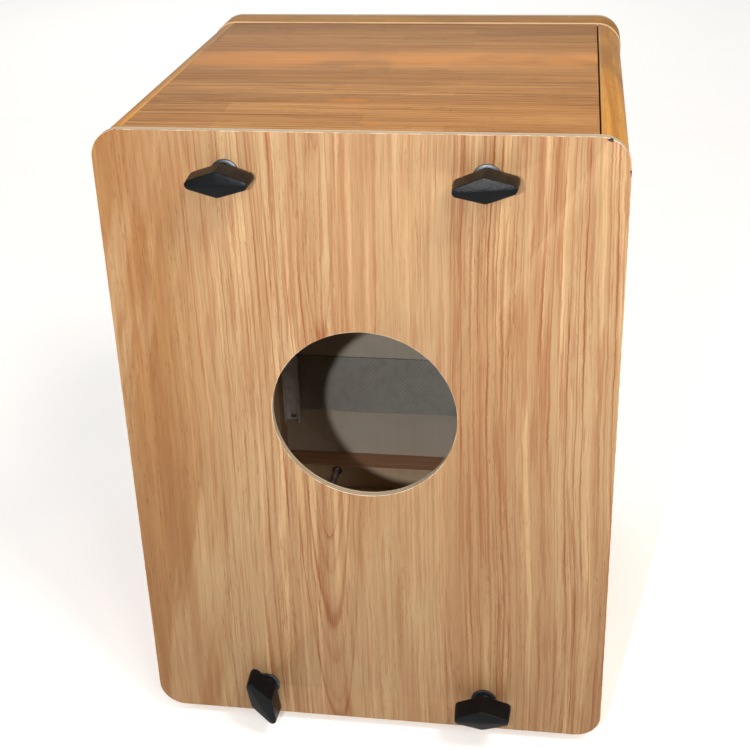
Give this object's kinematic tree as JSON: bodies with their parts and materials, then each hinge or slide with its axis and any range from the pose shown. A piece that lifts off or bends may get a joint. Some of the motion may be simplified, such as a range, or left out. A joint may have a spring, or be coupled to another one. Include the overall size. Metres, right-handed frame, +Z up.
{
  "type": "cajon",
  "caption": "Upright wooden box drum with rounded edges, a round sound hole in its rear panel and lozenge clamp knobs on tie rods that hold the panel on.",
  "frame": {"origin": "on the floor, under the middle of the bounding box, which reaches from the playing face to the clamp knobs", "axes": "+Z up; the playing face looks towards -Y and the panel with the sound hole towards +Y; +X is the seated player's left"},
  "size_m": [0.32, 0.3389, 0.448],
  "materials": {
    "rear_laminate": "satin wood-grain laminate on thin ply",
    "seat_wood": "satin lacquered reddish planks",
    "side_wood": "satin lacquered ply",
    "frame_lacquer": "glossy golden lacquer on solid wood",
    "tapa_wood": "satin veneer",
    "raw_wood": "sawn, unfinished",
    "black_plastic": "moulded, satin with a fine grain",
    "black_rubber": "matt",
    "zinc_steel": "zinc plated",
    "dark_steel": "dark zinc",
    "mesh_steel": "plain-woven wire",
    "channel_aluminium": "mill finish"
  },
  "bodies": {
    "carcass": {"base_panel": "side_wood", "corner_strip_bottom_left": "frame_lacquer", "corner_strip_bottom_right": "frame_lacquer", "corner_strip_top_left": "frame_lacquer", "corner_strip_top_right": "frame_lacquer", "foot_screw_front_left": "zinc_steel", "foot_screw_front_right": "zinc_steel", "foot_screw_rear_left": "zinc_steel", "foot_screw_rear_right": "zinc_steel", "front_rail_bottom": "frame_lacquer", "front_rail_top": "frame_lacquer", "front_stile_left": "frame_lacquer", "front_stile_right": "frame_lacquer", "rubber_foot_front_left": "black_rubber", "rubber_foot_front_right": "black_rubber", "rubber_foot_rear_left": "black_rubber", "rubber_foot_rear_right": "black_rubber", "seat_panel": "seat_wood", "side_panel_left": "side_wood", "side_panel_right": "side_wood", "snare_clamp_left": "channel_aluminium", "snare_clamp_right": "channel_aluminium", "snare_clamp_screw_left_lower": "zinc_steel", "snare_clamp_screw_left_upper": "zinc_steel", "snare_clamp_screw_right_lower": "zinc_steel", "snare_clamp_screw_right_upper": "zinc_steel", "snare_mesh": "mesh_steel", "tapa": "tapa_wood", "tapa_screw_bottom_left": "zinc_steel", "tapa_screw_bottom_right": "zinc_steel", "tapa_screw_left_lower": "zinc_steel", "tapa_screw_left_upper": "zinc_steel", "tapa_screw_right_lower": "zinc_steel", "tapa_screw_right_upper": "zinc_steel", "tapa_screw_top_1": "zinc_steel", "tapa_screw_top_2": "zinc_steel", "tapa_screw_top_3": "zinc_steel", "tapa_screw_top_4": "zinc_steel", "threaded_insert_bottom_left": "dark_steel", "threaded_insert_bottom_right": "dark_steel", "threaded_insert_top_left": "dark_steel", "threaded_insert_top_right": "dark_steel"},
    "rear_unit": {"rear_panel": "rear_laminate", "rear_cleat_top": "raw_wood", "rear_cleat_bottom": "raw_wood"},
    "washer_top_left": {"knob_washer_top_left": "zinc_steel"},
    "knob_and_rod_top_left": {"clamp_knob_top_left": "black_plastic", "tie_rod_top_left": "zinc_steel"},
    "washer_top_right": {"knob_washer_top_right": "zinc_steel"},
    "knob_and_rod_top_right": {"clamp_knob_top_right": "black_plastic", "tie_rod_top_right": "zinc_steel"},
    "washer_bottom_left": {"knob_washer_bottom_left": "zinc_steel"},
    "knob_and_rod_bottom_left": {"clamp_knob_bottom_left": "black_plastic", "tie_rod_bottom_left": "zinc_steel"},
    "washer_bottom_right": {"knob_washer_bottom_right": "zinc_steel"},
    "knob_and_rod_bottom_right": {"clamp_knob_bottom_right": "black_plastic", "tie_rod_bottom_right": "zinc_steel"}
  },
  "joints": [
    {"name": "rear_panel_draw", "type": "slide", "parent": "carcass", "child": "rear_unit", "axis": [0, 1, 0], "range_m": [0, 0.06]},
    {"name": "knob_turn_top_left", "type": "hinge", "parent": "rear_unit", "child": "washer_top_left", "pos_m": [0.078, 0.1455, 0.422], "axis": [0, 1, 0], "range_deg": [0, 5144]},
    {"name": "knob_travel_top_left", "type": "slide", "parent": "washer_top_left", "child": "knob_and_rod_top_left", "axis": [0, 1, 0], "range_m": [0, 0.01425]},
    {"name": "knob_turn_top_right", "type": "hinge", "parent": "rear_unit", "child": "washer_top_right", "pos_m": [-0.078, 0.1455, 0.422], "axis": [0, 1, 0], "range_deg": [0, 5144]},
    {"name": "knob_travel_top_right", "type": "slide", "parent": "washer_top_right", "child": "knob_and_rod_top_right", "axis": [0, 1, 0], "range_m": [0, 0.01425]},
    {"name": "knob_turn_bottom_left", "type": "hinge", "parent": "rear_unit", "child": "washer_bottom_left", "pos_m": [0.078, 0.1455, 0.034], "axis": [0, 1, 0], "range_deg": [0, 5144]},
    {"name": "knob_travel_bottom_left", "type": "slide", "parent": "washer_bottom_left", "child": "knob_and_rod_bottom_left", "axis": [0, 1, 0], "range_m": [0, 0.01425]},
    {"name": "knob_turn_bottom_right", "type": "hinge", "parent": "rear_unit", "child": "washer_bottom_right", "pos_m": [-0.078, 0.1455, 0.034], "axis": [0, 1, 0], "range_deg": [0, 5144]},
    {"name": "knob_travel_bottom_right", "type": "slide", "parent": "washer_bottom_right", "child": "knob_and_rod_bottom_right", "axis": [0, 1, 0], "range_m": [0, 0.01425]}
  ],
  "couplings": [
    {"joint": "knob_turn_top_left", "follows": "knob_travel_top_left", "rad_per_m": 6283.2},
    {"joint": "knob_turn_top_right", "follows": "knob_travel_top_right", "rad_per_m": 6283.2},
    {"joint": "knob_turn_bottom_left", "follows": "knob_travel_bottom_left", "rad_per_m": 6283.2},
    {"joint": "knob_turn_bottom_right", "follows": "knob_travel_bottom_right", "rad_per_m": 6283.2}
  ]
}
